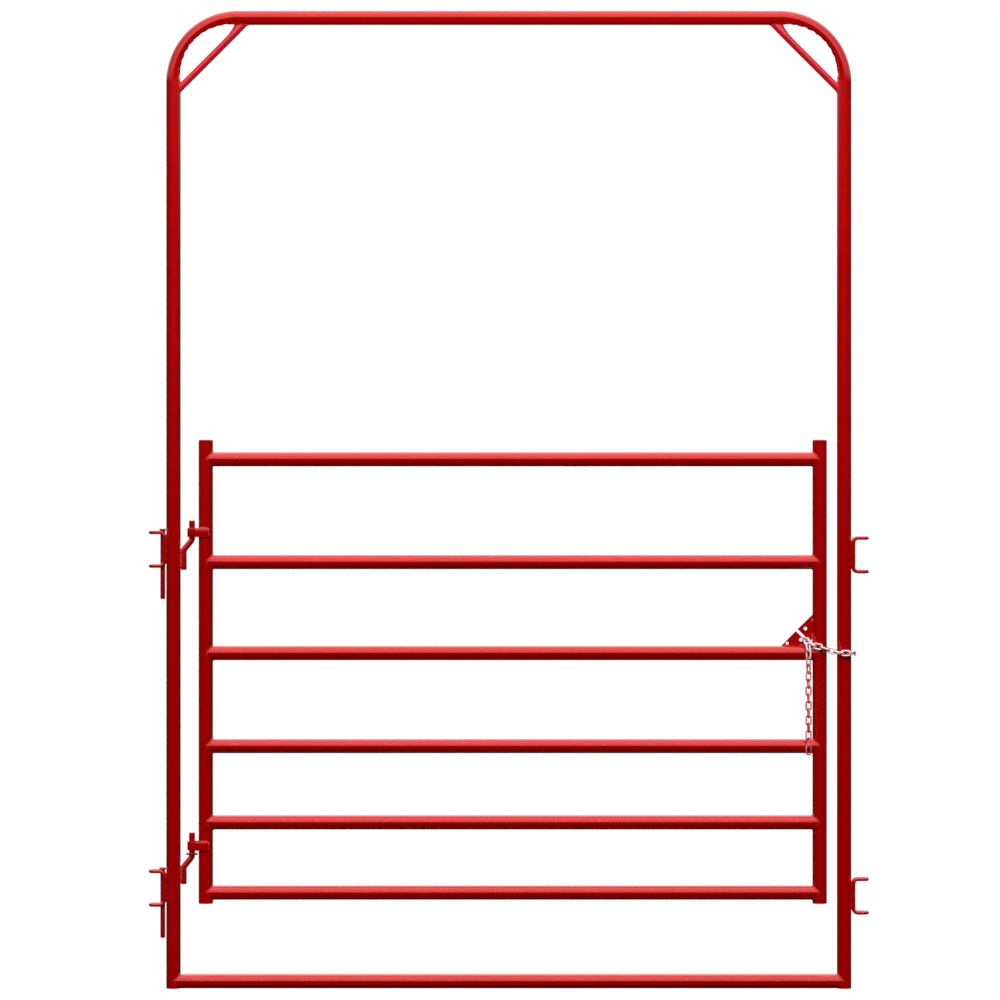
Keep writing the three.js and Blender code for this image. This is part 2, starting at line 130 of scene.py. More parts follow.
STRAP_THICKNESS = 4 * MM
STRAP_HEIGHT = 24 * MM
STRAP_SPREAD = math.radians(38)
STRAP_EDGE = 0.9 * MM
STRAP_TOP_BEAD = 2.7 * MM
STRAP_LOW_BEAD = 1.9 * MM
STRAP_WELD_REACH = 15 * MM  # how far past the post's axis the welds run towards the pin

ROD_RADIUS = 4.76 * MM
BRACKET_STAND_OFF = 3.3 * MM  # from the post to the rod, filled by the welds
BRACKET_HALF_WIDTH = 12 * MM
BRACKET_BEND = 12 * MM
BRACKET_ARM_SPACING = 89.5 * MM
BRACKET_WELD_INSET = 3.8 * MM  # from the rod's axis back towards the post

DROP_PIN_RADIUS = 6.35 * MM
DROP_PIN_HEAD = 5 * MM  # the head's height
DROP_PIN_RUB = 0.35

PLATE_LEG = 84 * MM
PLATE_THICKNESS = 4.8 * MM
PLATE_BEVEL = 0.5 * MM
PLATE_ROOT = 0.9 * MM  # how far its welded edges reach into the seams
# Each hole's distance to the left of the plate's corner, its height above it and its radius
PLATE_HOLES = [
    (18.7 * MM, 46 * MM, 4.7 * MM),
    (30.8 * MM, 16.3 * MM, 4.7 * MM),
    (67.3 * MM, 6.8 * MM, 4 * MM),
]
SLOT_WIDTH = 7 * MM
SLOT_END = 14 * MM
# From where to where the plate's welds run, measured from its corner
PLATE_POST_WELDS = [(17 * MM, 33 * MM), (60 * MM, 74 * MM)]
PLATE_POST_BEAD = 3.4 * MM
PLATE_RAIL_WELDS = [(20 * MM, 36 * MM), (62 * MM, 80 * MM)]
PLATE_RAIL_BEAD = 3 * MM

WIRE_RADIUS = 2.15 * MM
WIRE_SIDES = 14
LINK_BEND = 6.6 * MM
LINK_HALF_LENGTH = 12.45 * MM  # to the wire's centre at either end
LINK_COUNT = 16  # in the loop, and again in the tail
RED_SHADE_FROM = 4  # the first link of the tail that the red painted shade covers all over
CROOK_FROM = 7 * MM  # from a link's centre, where the red painted shade inside its ends begins
ANCHOR_BEAD = 1.1 * MM

BEAD_RADIUS = 2.3 * MM
RAIL_BEAD = 1.5 * MM  # the thinner beads round the ends of the rails
BRACKET_BEAD = 2.4 * MM
CREVICE_SHADE_RUB = 4.0  # the value that darkens a weld to the steel colour: painted shade in the crevice between a bracket's rod and the post
BEAD_STEP = 0.8 * MM  # between the points of a bead
BEAD_SIDES = 10
BEAD_RIPPLE = 4.2 * MM  # from one ripple of a weld to the next
BEAD_RIPPLE_SHARE = 0.16  # of its radius
BEAD_VARIATION = 0.45  # of its radius, at random along it
BEAD_TIP = 0.35  # the share of its radius at an open end
SHADED_WELD_SHARE = 0.1  # the share of a weld's painted highlight that its shaded lower side keeps

CAMERA_DISTANCE = 12.0
CAMERA_AIM = Vector((-0.0235, 0, 1.3035))
VIEW_WIDTH = 2.67
SENSOR_WIDTH = 36.0

RED_DEEP = (0.68, 0.0006, 0.001)
RED_BRIGHT = (0.73, 0.001, 0.0016)
# The braces' lighter red is painted light: a lit copy of the enamel, for the light they catch.
BRACE_LIT_RED_DEEP = (0.86, 0.014, 0.026)
BRACE_LIT_RED_BRIGHT = (0.92, 0.020, 0.034)
# The lighter red of the weld beads is a painted highlight, for beads catching the light.
WELD_HIGHLIGHT_RED = (0.72, 0.05, 0.045)
# Bare steel where the paint is worn, and also the painted shade on the bracket welds.
BARE_STEEL_AND_SHADE = (0.16, 0.13, 0.12)
# The chain's red is painted shade: the red-tinted dark of the link crooks and of the tail.
CHAIN_SHADE_RED = (0.66, 0.008, 0.02)
COAT_IOR = 1.8  # of the gloss coat, which gives the rails their pale tops

# The studio's brightness by the height of the direction looked in, from straight down to straight up
STUDIO_LEVELS = [
    (-1.0, 0.0),
    (-0.3, 0.0),
    (0.10, 0.01),
    (0.19, 0.78),
    (0.6, 0.8),
    (0.9, 1.1),
    (1.0, 1.2),
]
SIDE_SHARE = 0.5  # of that brightness, far to either side
REAR_SHARE = 1.6  # and behind the gate, where it gives the rails their pale upper edge
FRONT_LIGHT_HEIGHT = math.radians(36)  # above the horizon, for the light from the camera's side
FRONT_LIGHT_STRENGTH = 2.4
ARCH_LIGHT_POWER = 14.0
ARCH_LIGHT_AT = (0, -0.8, 1.9)
ARCH_LIGHT_SIZE = (2.6, 0.5)
HEAD_LIGHT_POWER = 3.0
HEAD_LIGHT_AT = (0.1, -0.6, 1.8)
HEAD_LIGHT_SIZE = (2.3, 0.2)
FLOOR_HALF_WIDTH = 8.0

# ---------- worked out from them and from the frame ----------

POST_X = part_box("frame_bow")[1].x - TUBE_RADIUS
ARCH_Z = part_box("frame_bow")[1].z - TUBE_RADIUS
HINGE_X = -POST_X + PIN_OFFSET
HINGE_POST_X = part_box("hinge_post")[0].x + TUBE_RADIUS
LATCH_POST_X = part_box("latch_post")[0].x + TUBE_RADIUS
CORNER_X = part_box("latch_plate")[1].x
CORNER_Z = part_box("latch_plate")[0].z
X_AXIS, Y_AXIS, Z_AXIS = Vector((1, 0, 0)), Vector((0, 1, 0)), Vector((0, 0, 1))

# ---------- paths and rings ----------


def bent_path(corners, bend_radius, bend_steps):
    """Stations, each a point and its direction, along straight runs joined by round bends."""
    corners = [Vector(c) for c in corners]
    stations = [(corners[0], (corners[1] - corners[0]).normalized())]
    for before, corner, after in zip(corners, corners[1:], corners[2:]):
        into = (corner - before).normalized()
        out_of = (after - corner).normalized()
        turn = into.angle(out_of)
        axis = into.cross(out_of).normalized()
        start = corner - into * bend_radius * math.tan(turn / 2)
        inward = axis.cross(into)
        centre = start + inward * bend_radius
        for step in range(bend_steps + 1):
            turned = Quaternion(axis, turn * step / bend_steps)
            point = centre - turned @ (inward * bend_radius)
            if (point - stations[-1][0]).length > 1e-7:
                stations.append((point, turned @ into))
    stations.append((corners[-1], (corners[-1] - corners[-2]).normalized()))
    return stations


def smooth_path(points, closed=False):
    """Stations through a list of points, with each direction taken from the points on both sides."""
    points = [Vector(p) for p in points]
    last = len(points) - 1
    stations = []
    for index, point in enumerate(points):
        before = points[index - 1] if index or closed else point
        after = points[(index + 1) % len(points)] if index < last or closed else point
        stations.append((point, (after - before).normalized()))
    return stations


def sides_along(stations, first_side, closed=False):
    """For each station two directions square to the path, carried along it without twisting."""
    side = (first_side - stations[0][1] * first_side.dot(stations[0][1])).normalized()
    sides = [side]
    for (_, before), (_, after) in zip(stations, stations[1:]):
        side = before.rotation_difference(after) @ side
        sides.append((side - after * side.dot(after)).normalized())
    if closed:
        home = stations[-1][1].rotation_difference(stations[0][1]) @ sides[-1]
        slip = math.atan2(sides[0].cross(home).dot(stations[0][1]), sides[0].dot(home))
        count = len(stations)
        for index, (_, direction) in enumerate(stations):
            sides[index] = Quaternion(direction, -slip * index / count) @ sides[index]
    return [(side, direction.cross(side)) for side, (_, direction) in zip(sides, stations)]


def circle(radius, count):
    """A round section, as points across and through it."""
    angles = [2 * math.pi * step / count for step in range(count)]
    return [(radius * math.cos(angle), radius * math.sin(angle)) for angle in angles]


def rounded_bar(width, thickness, rounding):
    """The section of a flat bar, as points across and through it."""
    points = []
    corners = [(1, 1, 0), (-1, 1, 90), (-1, -1, 180), (1, -1, 270)]
    for x_sign, y_sign, start in corners:
        x = x_sign * (width / 2 - rounding)
        y = y_sign * (thickness / 2 - rounding)
        for step in range(4):
            angle = math.radians(start + 30 * step)
            points.append((x + rounding * math.cos(angle), y + rounding * math.sin(angle)))
    return points


def swept(stations, outlines, first_side, closed=False):
    """A ring at each station, from the outline that belongs to it."""
    sides = sides_along(stations, first_side, closed)
    rings = []
    for (point, _), (side, other), outline in zip(stations, sides, outlines):
        rings.append([point + side * u + other * v for u, v in outline])
    return rings


def distances(stations):
    """How far along the path each station is."""
    total = [0.0]
    for (before, _), (after, _) in zip(stations, stations[1:]):
        total.append(total[-1] + (after - before).length)
    return total


def resampled(points, spacing):
    """A closed run of points put at even steps."""
    whole = list(points) + [points[0]]
    result = []
    for before, after in zip(whole, whole[1:]):
        steps = max(1, round((after - before).length / spacing))
        result += [before.lerp(after, step / steps) for step in range(steps)]
    return result


def line_points(start, end):
    """Points at even steps along a straight bead."""
    start, end = Vector(start), Vector(end)
    steps = max(2, round((end - start).length / BEAD_STEP))
    return [start.lerp(end, step / steps) for step in range(steps + 1)]


def set_values(mesh, name, values):
    """Gives a mesh a number for each vertex, for its material to read."""
    layer = mesh.attributes.new(name, "FLOAT", "POINT")
    layer.data.foreach_set("value", np.array(values, np.float32))


class Shape:
    """A mesh in the making: several closed shells, with a weld value and a value for wear and painted
    shade at each vertex.
    """

    def __init__(self):
        self.points = []
        self.faces = []
        self.weld = []
        self.wear_and_shade = []

    def add_rings(self, rings, closed=False, weld=0.0, wear_and_shade=0.0):
        """A skin over rings of equal counts, with flat ends unless it closes on itself."""
        first = len(self.points)
        count = len(rings[0])
        for ring in rings:
            self.points.extend(ring)
            self.weld.extend([weld] * count)
            self.wear_and_shade.extend([wear_and_shade] * count)
        pairs = len(rings) if closed else len(rings) - 1
        for index in range(pairs):
            here = first + index * count
            there = first + (index + 1) % len(rings) * count
            for k in range(count):
                following = (k + 1) % count
                self.faces.append((here + k, here + following, there + following, there + k))
        if not closed:
            self.faces.append(tuple(first + k for k in reversed(range(count))))
            self.faces.append(tuple(first + pairs * count + k for k in range(count)))

    def add_rod(self, stations, radius, sides, chamfer, first_side, wear_and_shade=0.0):
        """A solid rod with softened ends."""
        start, end = stations[0], stations[-1]
        steps = [(0.0, 1.0), (0.3, 0.45), (1.0, 0.0), (1.5, 0.0)]
        inner = stations[1:-1]
        path = [(start[0] + start[1] * chamfer * along, start[1]) for along, _ in steps]
        path += inner
        path += [(end[0] - end[1] * chamfer * along, end[1]) for along, _ in reversed(steps)]
        cuts = [cut for _, cut in steps]
        cuts += [0.0] * len(inner) + cuts[::-1]
        outlines = [circle(radius - chamfer * cut, sides) for cut in cuts]
        self.add_rings(swept(path, outlines, first_side), wear_and_shade=wear_and_shade)

    def add_bead(self, points, radius=BEAD_RADIUS, closed=False, seed=0.0, highlight_above=None, wear_and_shade=0.0):
        """A rippled, slightly uneven rod of weld along a seam. Below a given height, where it is in
        shade, its weld value drops to a small share, and its painted highlight with it.
        """
        stations = smooth_path(points, closed)
        along = distances(stations)
        outlines = []
        for index, (point, _) in enumerate(stations):
            ripple = BEAD_RIPPLE_SHARE * math.cos(2 * math.pi * along[index] / BEAD_RIPPLE)
            drift = BEAD_VARIATION * noise.noise(point * 90 + Vector((seed, 0, 0)))
            taper = 1.0
            if not closed:
                from_end = min(along[index], along[-1] - along[index])
                taper = min(1.0, BEAD_TIP + from_end / (2 * radius))
            outlines.append(circle(radius * (1 + ripple + drift) * taper, BEAD_SIDES))
        first_side = X_AXIS if abs(stations[0][1].x) < 0.8 else Y_AXIS
        first = len(self.points)
        rings = swept(stations, outlines, first_side, closed)
        self.add_rings(rings, closed, weld=1.0, wear_and_shade=wear_and_shade)
        # Painted shade: the lower side of the bead keeps only a small share of the weld highlight.
        for index in range(first, len(self.points)):
            if highlight_above is not None and self.points[index].z < highlight_above:
                self.weld[index] = SHADED_WELD_SHARE

    def make(self, node, material, sharp_above=35):
        """The finished piece, which stands for a node of the frame and rides where that node does."""
        mesh = bpy.data.meshes.new("fine_" + node)
        mesh.from_pydata([tuple(p) for p in self.points], [], self.faces)
        mesh.validate()
        set_values(mesh, "weld", self.weld)
        set_values(mesh, "wear_and_shade", self.wear_and_shade)
        return finished(node, mesh, material, sharp_above)


def finished(node, mesh, material, sharp_above):
    """Shades the mesh smooth and puts it in the node's place, on the node's body."""
    mesh.materials.clear()
    mesh.materials.append(material)
    mesh.polygons.foreach_set("use_smooth", [True] * len(mesh.polygons))
    mesh.set_sharp_from_angle(angle=math.radians(sharp_above))
    piece = bpy.data.objects.new("fine_" + node, mesh)
    bpy.context.scene.collection.objects.link(piece)
    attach(piece, frame["nodes"][node]["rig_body"])
    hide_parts(node)
    return piece


# ---------- materials ----------


def new_material(name):
    """A material with its node tree, its shader and the place on the piece, in metres."""
    material = bpy.data.materials.new(name)
    material.use_nodes = True
    tree = material.node_tree
    shader = tree.nodes["Principled BSDF"]
    place = tree.nodes.new("ShaderNodeTexCoord").outputs["Object"]
    return material, tree, shader, place


def noise_node(tree, place, scale, detail=2.0, roughness=0.5):
    """Soft random values from 0 to 1 over the surface."""
    texture = tree.nodes.new("ShaderNodeTexNoise")
    texture.inputs["Scale"].default_value = scale
    texture.inputs["Detail"].default_value = detail
    texture.inputs["Roughness"].default_value = roughness
    tree.links.new(place, texture.inputs["Vector"])
    return texture.outputs["Fac"]


def remap(tree, value, from_low, from_high, to_low, to_high):
    """Stretches one range of a value onto another, and holds it at the ends."""
    node = tree.nodes.new("ShaderNodeMapRange")
    node.clamp = True
    node.inputs["From Min"].default_value = from_low
    node.inputs["From Max"].default_value = from_high
    node.inputs["To Min"].default_value = to_low
    node.inputs["To Max"].default_value = to_high
    tree.links.new(value, node.inputs["Value"])
    return node.outputs["Result"]


def arithmetic(tree, operation, a, b):
    """One sum on two values, each a number or a node's output."""
    node = tree.nodes.new("ShaderNodeMath")
    node.operation = operation
    for socket, value in zip(node.inputs, (a, b)):
        if isinstance(value, (int, float)):
            socket.default_value = value
        else:
            tree.links.new(value, socket)
    return node.outputs[0]


def mixed(tree, share, a, b):
    """A colour between two, each fixed or a node's output."""
    node = tree.nodes.new("ShaderNodeMix")
    node.data_type = "RGBA"
    tree.links.new(share, node.inputs[0])
    # A Mix node's two colours are its sockets 6 and 7, and its colour result is its output 2
    for socket, colour in ((node.inputs[6], a), (node.inputs[7], b)):
        if isinstance(colour, tuple):
            socket.default_value = (*colour, 1)
        else:
            tree.links.new(colour, socket)
    return node.outputs[2]


def attribute(tree, name):
    """A number that the mesh carries for each vertex."""
    node = tree.nodes.new("ShaderNodeAttribute")
    node.attribute_name = name
    return node.outputs["Fac"]


def bumped(tree, shader, heights):
    """Stacks bumps, each a height, its strength and its depth, and gives them to the shader."""
    normal = None
    for height, strength, depth in heights:
        bump = tree.nodes.new("ShaderNodeBump")
        bump.inputs["Strength"].default_value = strength
        bump.inputs["Distance"].default_value = depth
        tree.links.new(height, bump.inputs["Height"])
        if normal is not None:
            tree.links.new(normal, bump.inputs["Normal"])
        normal = bump.outputs["Normal"]
    tree.links.new(normal, shader.inputs["Normal"])


def enamel_material(name, deep, bright):
    """Glossy red paint: nearly even in tone, with fine orange peel, rougher and lumpier over welds,
    which carry a painted highlight.
    """
    material, tree, shader, place = new_material(name)
    clouds = remap(tree, noise_node(tree, place, 9, 3), 0.35, 0.65, 0, 1)
    grain = remap(tree, noise_node(tree, place, 260, 2), 0.3, 0.7, 0, 0.16)
    tone = mixed(tree, clouds, deep, bright)
    speckled = mixed(tree, grain, tone, tuple(0.7 * c for c in deep))
    weld = attribute(tree, "weld")
    pits = remap(tree, noise_node(tree, place, 420, 3), 0.4, 0.62, 0.3, 0.8)
    # The weld value mixes in the painted highlight of the beads.
    painted = mixed(tree, arithmetic(tree, "MULTIPLY", weld, pits), speckled, WELD_HIGHLIGHT_RED)
    # The steel colour shows where the paint is worn on the pins and the slot. On the bracket welds it
    # is painted shade.
    scuffs_and_shade = remap(tree, noise_node(tree, place, 310, 4, 0.7), 0.56, 0.64, 0, 0.8)
    bare_and_shade = arithmetic(tree, "MULTIPLY", attribute(tree, "wear_and_shade"), scuffs_and_shade)
    colour = mixed(tree, bare_and_shade, painted, BARE_STEEL_AND_SHADE)
    tree.links.new(colour, shader.inputs["Base Color"])
    gloss = remap(tree, noise_node(tree, place, 45, 2), 0.3, 0.7, 0.17, 0.24)
    rough = arithmetic(tree, "ADD", gloss, arithmetic(tree, "MULTIPLY", weld, 0.16))
    tree.links.new(rough, shader.inputs["Roughness"])
    shader.inputs["Metallic"].default_value = 0.5
    shader.inputs["Specular IOR Level"].default_value = 0.0
    shader.inputs["Coat Weight"].default_value = 1.0
    shader.inputs["Coat Roughness"].default_value = 0.1
    shader.inputs["Coat IOR"].default_value = COAT_IOR
    peel = noise_node(tree, place, 330, 2)
    lumps = arithmetic(tree, "MULTIPLY", noise_node(tree, place, 700, 3), weld)
    bumped(tree, shader, [(peel, 0.08, 0.0005), (lumps, 0.5, 0.0006)])
    return material


def zinc_material():
    """Bright plated chain, with red painted shade in the crooks where each link hides its neighbour's
    end.
    """
    material, tree, shader, place = new_material("zinc")
    cloud = remap(tree, noise_node(tree, place, 240, 3), 0.3, 0.7, 0, 1)
    plated = mixed(tree, cloud, (0.92, 0.92, 0.92), (1.0, 1.0, 0.99))
    speck = remap(tree, noise_node(tree, place, 330, 3), 0.34, 0.46, 0.45, 1)
    red_shade = arithmetic(tree, "MULTIPLY", attribute(tree, "crook"), speck)
    colour = mixed(tree, red_shade, plated, CHAIN_SHADE_RED)
    tree.links.new(colour, shader.inputs["Base Color"])
    tree.links.new(remap(tree, red_shade, 0, 1, 0.16, 0.0), shader.inputs["Metallic"])
    tree.links.new(remap(tree, cloud, 0, 1, 0.32, 0.46), shader.inputs["Roughness"])
    bumped(tree, shader, [(noise_node(tree, place, 900, 2), 0.15, 0.0004)])
    return material


enamel = enamel_material("enamel", RED_DEEP, RED_BRIGHT)
# The braces get a lit copy of the enamel, as painted light.
lit_brace_enamel = enamel_material("lit_brace_enamel", BRACE_LIT_RED_DEEP, BRACE_LIT_RED_BRIGHT)

# ---------- tubes ----------


def tube_rings(stations, first_side, outlines=None, open_ends=(True, True)):
    """The rings of a tube whose open ends are hollow for a short way in."""
    bore = circle(TUBE_RADIUS - TUBE_WALL, TUBE_SIDES)
    plain = circle(TUBE_RADIUS, TUBE_SIDES)
    eased = circle(TUBE_RADIUS - END_ROUNDING, TUBE_SIDES)
    sections = outlines or [plain] * len(stations)
    sides = sides_along(stations, first_side)

    def ring(index, outline, further=0.0):
        point, direction = stations[index]
        side, other = sides[index]
        return [point + direction * further + side * u + other * v for u, v in outline]

    rings = []
    if open_ends[0]:
        rings += [ring(0, bore, TUBE_END_DEPTH), ring(0, bore)]
    rings += [ring(0, eased), ring(0, plain, END_ROUNDING)]
    rings += [ring(index, sections[index]) for index in range(1, len(stations) - 1)]
    rings += [ring(-1, plain, -END_ROUNDING), ring(-1, eased)]
    if open_ends[1]:
        rings += [ring(-1, bore), ring(-1, bore, -TUBE_END_DEPTH)]
    return rings


def saddle(post_x, towards, z, lift=0.0, count=132):
    """The seam where a level tube meets an upright one, as a closed run of points."""
    points = []
    for step in range(count):
        angle = 2 * math.pi * step / count
        y = TUBE_RADIUS * math.sin(angle)
        rise = TUBE_RADIUS * math.cos(angle)
        reach = math.sqrt(max(TUBE_RADIUS**2 - y * y, 0) + (2 * MM) ** 2)
        outward = Vector((0, math.sin(angle), math.cos(angle))) * lift
        points.append(Vector((post_x + towards * (reach + lift), y, z + rise)) + outward)
    return points


def cut_end(post_x, towards, z):
    """The end of a level tube, cut to fit round an upright one."""
    ring = []
    for u, v in circle(TUBE_RADIUS, TUBE_SIDES):
        reach = math.sqrt(max(TUBE_RADIUS**2 - u * u, 0))
        ring.append(Vector((post_x + towards * (reach + WELD_GAP), u, z + v)))
    return ring


def rail_piece(node, from_x, to_x):
    """A level tube cut at both ends to fit round two uprights, with a weld bead round each end."""
    z = sum(corner.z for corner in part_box(node)) / 2
    ends = [(from_x, 1), (to_x, -1)]
    first, last = (cut_end(x, towards, z) for x, towards in ends)
    middle = [
        [Vector((from_x + (to_x - from_x) * share, p.y, p.z)) for p in first]
        for share in RAIL_STATIONS
    ]
    shape = Shape()
    shape.add_rings([first, *middle, last])
    for number, (x, towards) in enumerate(ends):
        seam = saddle(x, towards, z, lift=0.2 * MM)
        for point in seam:
            point.z = max(point.z, 1.7 * RAIL_BEAD)  # no weld reaches the ground
        seed = 7 * number + z * 40
        # The bead's highlight is painted on its upper side only, where the light falls from above.
        shape.add_bead(seam, RAIL_BEAD, closed=True, seed=seed, highlight_above=z + 2 * MM)
    return shape.make(node, enamel)


def bow_outline(press, dent):
    """A tube's section with its inner half, at positive u, flattened and then dented a little."""
    points = []
    for u, v in circle(TUBE_RADIUS, TUBE_SIDES):
        inward = max(0.0, u)
        u -= inward * press / TUBE_RADIUS + dent * (inward / TUBE_RADIUS) ** 3
        points.append((u, v))
    return points


def bow_piece():
    """The arched frame: one tube up, over and down, slightly wrinkled inside each bend."""
    corners = [(-POST_X, 0, 0), (-POST_X, 0, ARCH_Z), (POST_X, 0, ARCH_Z), (POST_X, 0, 0)]
    stations = bent_path(corners, BOW_BEND_RADIUS, BOW_BEND_STEPS)
    along = distances(stations)
    outlines = []
    for index, (_, direction) in enumerate(stations):
        bent = 2 * abs(direction.x * direction.z)
        wave = 0.5 - 0.5 * math.cos(2 * math.pi * along[index] / WRINKLE_PITCH)
        uneven = WRINKLE_MEAN + WRINKLE_VARIATION * noise.noise(Vector((along[index] * 60, 3.1, 0)))
        dent = min(1.0, WRINKLE_ONSET * bent) * WRINKLE_DEPTH * wave * uneven
        outlines.append(bow_outline(BEND_PRESS * bent, dent))
    shape = Shape()
    shape.add_rings(tube_rings(stations, X_AXIS, outlines))
    return shape.make("frame_bow", enamel)


def post_piece(node, x):
    """One of the leaf's uprights, open at its lower end and closed by its cap above."""
    low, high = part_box(node)
    shape = Shape()
    stations = [
        (Vector((x, 0, low.z)), Z_AXIS),
        (Vector((x, 0, (low.z + high.z) / 2)), Z_AXIS),
        (Vector((x, 0, high.z)), Z_AXIS),
    ]
    shape.add_rings(tube_rings(stations, X_AXIS, open_ends=(True, False)))
    return shape.make(node, enamel)


def cap_piece(node, x):
    """A welded disc with a rounded edge and a fine seam under it."""
    low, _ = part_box(node)
    shape = Shape()
    # Each step's inset from the tube's surface and its height above the tube's end
    seam = [(2.6 * MM, 0), (0.6 * MM, 0), (0.1 * MM, 0.4 * MM), (0, 0.9 * MM)]
    edge = [(0, 1.9 * MM), (0.35 * MM, 2.5 * MM), (1.1 * MM, 2.85 * MM), (2.4 * MM, 3 * MM)]
    rings = []
    for inset, rise in seam + edge:
        outline = circle(TUBE_RADIUS - inset, TUBE_SIDES)
        rings.append([Vector((x + u, v, low.z + rise)) for u, v in outline])
    shape.add_rings(rings)
    return shape.make(node, enamel, sharp_above=50)


def brace_rings(side):
    """The brace's rings, from the post to the arch, with both ends cut to fit their tubes."""
    on_post = Vector((side * POST_X, 0, ARCH_Z - BRACE_REACH))
    on_arch = Vector((side * (POST_X - BRACE_REACH), 0, ARCH_Z))
    direction = (on_arch - on_post).normalized()
    length = (on_arch - on_post).length
    across = direction.cross(Y_AXIS).normalized()
    clear = TUBE_RADIUS + WELD_GAP
    flare_start = 1 - BRACE_FLARE_LENGTH / length - BRACE_CUT_SHARE
    rings = []
    for step in range(BRACE_STEPS + 1):
        share = step / BRACE_STEPS
        flare = max(0.0, (share - flare_start) / (1 - flare_start)) ** BRACE_FLARE_CURVE
        wide = BRACE_RADIUS * (1 + (BRACE_FLARE - 1) * flare)
        deep = BRACE_RADIUS * (1 - BRACE_THINNING * flare)
        lean = X_AXIS * side * BRACE_LEAN * flare
        ring = []
        for u, v in circle(1.0, BRACE_SIDES):
            offset = across * u * wide + Y_AXIS * v * deep
            reach = math.sqrt(max(clear**2 - offset.y**2, 0))
            start = max(0.0, (reach + side * offset.x) / abs(direction.x))
            end = length - max(0.0, (reach + offset.z) / direction.z)
            ring.append(on_post + offset + lean + direction * (start + (end - start) * share))
        rings.append(ring)
    return rings


def brace_piece(node, side):
    """A thin tube across a corner, pressed wider where it meets the arch."""
    rings = brace_rings(side)
    shape = Shape()
    shape.add_rings(rings)
    for number, ring in enumerate((rings[0], rings[-1])):
        seam = resampled(ring, BRACE_BEAD_STEP)
        shape.add_bead(seam, BRACE_BEAD, closed=True, seed=3 + 9 * number)
    return shape.make(node, lit_brace_enamel)


# ---------- hinges ----------


def hinge_bolt_piece(node, level):
    """A cranked rod: a leg welded to the post, and the pin that the strap turns on."""
    low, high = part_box(node)
    leg_x = -POST_X + TUBE_RADIUS + WELD_GAP + PIN_RADIUS
    bend_z = BOLT_BENDS[level]
    leg_top = bend_z - BOLT_BEND_HEIGHT
    corners = [
        (leg_x, 0, low.z),
        (leg_x, 0, leg_top),
        (HINGE_X, 0, bend_z),
        (HINGE_X, 0, high.z),
    ]
    shape = Shape()
    path = bent_path(corners, BOLT_BEND_RADIUS, 16)
    shape.add_rod(path, PIN_RADIUS, 48, BOLT_CHAMFER, Y_AXIS, wear_and_shade=BOLT_RUB)
    seam_x = leg_x - PIN_RADIUS
    top = leg_top - 2 * MM
    for y_sign in (-1, 1):
        foot = (seam_x + 1.4 * MM, y_sign * 5.6 * MM, low.z + 5 * MM)
        head = (seam_x + 1.4 * MM, y_sign * 5.6 * MM, top)
        shape.add_bead(line_points(foot, head), BOLT_SIDE_BEAD, seed=11 * y_sign)
    front = (seam_x + 2 * MM, -5 * MM, top + 1.5 * MM)
    back = (seam_x + 2 * MM, 5 * MM, top + 1.5 * MM)
    shape.add_bead(line_points(front, back), BOLT_TOP_BEAD, seed=5)
    return shape.make(node, enamel)


def washer_piece():
    """A flat ring with softened edges, turned round the pin."""
    low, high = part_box("hinge_washer")
    bore = PIN_RADIUS + PIN_RUNNING_GAP
    outer = (high.x - low.x) / 2
    ease = 0.5 * MM
    profile = [
        (bore, low.z + ease),
        (bore + ease, low.z),
        (outer - ease, low.z),
        (outer, low.z + ease),
        (outer, high.z - ease),
        (outer - ease, high.z),
        (bore + ease, high.z),
        (bore, high.z - ease),
    ]
    rings = []
    for across, along in circle(1.0, 64):
        rings.append([Vector((HINGE_X + r * across, r * along, z)) for r, z in profile])
    shape = Shape()
    shape.add_rings(rings, closed=True)
    return shape.make("hinge_washer", enamel)


def strap_piece(node):
    """A flat bar folded round the pin, its legs welded to the front and back of the leaf's post."""
    low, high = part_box(node)
    z = (low.z + high.z) / 2
    eye = PIN_RADIUS + PIN_RUNNING_GAP + STRAP_THICKNESS / 2
    leg_y = TUBE_RADIUS + WELD_GAP + STRAP_THICKNESS / 2
    apex_x = HINGE_X - eye / math.sin(STRAP_SPREAD)
    knee_x = apex_x + leg_y / math.tan(STRAP_SPREAD)
    corners = [
        (high.x, leg_y, z),
        (knee_x, leg_y, z),
        (apex_x, 0, z),
        (knee_x, -leg_y, z),
        (high.x, -leg_y, z),
    ]
    shape = Shape()
    section = rounded_bar(STRAP_HEIGHT, STRAP_THICKNESS, STRAP_EDGE)
    shape.add_rings(swept(bent_path(corners, eye, 20), repeat(section), Z_AXIS))
    add_strap_beads(shape, low, high)
    return shape.make(node, enamel)


def add_strap_beads(shape, low, high):
    """The welds of the strap's two legs: along both edges, and up the cut end."""
    edges = [(high.z - 0.3 * MM, STRAP_TOP_BEAD), (low.z + 0.3 * MM, STRAP_LOW_BEAD)]
    for y_sign in (-1, 1):
        y = y_sign * (TUBE_RADIUS + 1.2 * MM)
        for edge, radius in edges:
            start = (HINGE_POST_X - STRAP_WELD_REACH, y * 0.86, edge)
            end = (high.x - 1 * MM, y * 0.97, edge)
            shape.add_bead(line_points(start, end), radius, seed=21 * y_sign + edge)
        foot = (high.x, y * 0.98, low.z + 1 * MM)
        head = (high.x, y * 0.98, high.z - 1 * MM)
        shape.add_bead(line_points(foot, head), BEAD_RADIUS, seed=4 + y_sign)


# ---------- panel brackets and drop pins ----------


